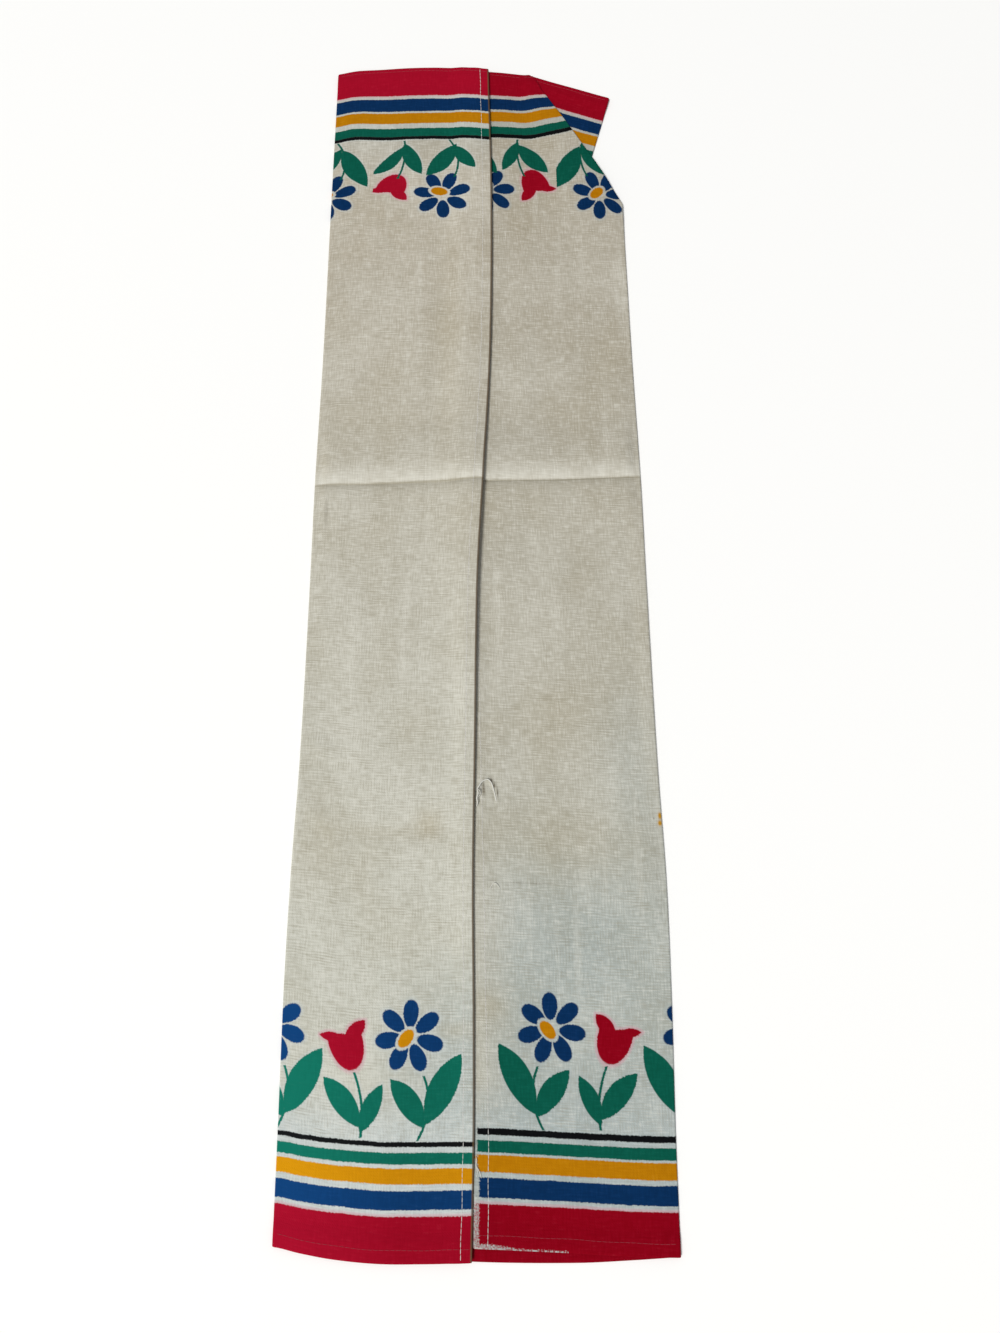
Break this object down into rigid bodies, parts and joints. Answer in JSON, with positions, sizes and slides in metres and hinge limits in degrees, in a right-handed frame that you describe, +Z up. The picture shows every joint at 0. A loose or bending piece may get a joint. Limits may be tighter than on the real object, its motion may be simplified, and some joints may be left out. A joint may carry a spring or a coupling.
{
  "type": "linen tea towel",
  "caption": "Hemmed linen tea towel lying folded lengthways, both long sides turned in, printed border at each end, far corner pleated under.",
  "frame": {"origin": "middle of the towel's footprint, on the surface that it lies on", "axes": "+Y along the towel towards the end with the pleated corner, +X across it, +Z up, out of the printed side of the flaps"},
  "size_m": [0.2178, 0.782, 0.008],
  "materials": {
    "printed_linen": "plain-woven slubby linen, unbleached, matt, with screen-printed stripes and flowers"
  },
  "bodies": {
    "root": {"tea_towel": "printed_linen"}
  },
  "joints": []
}
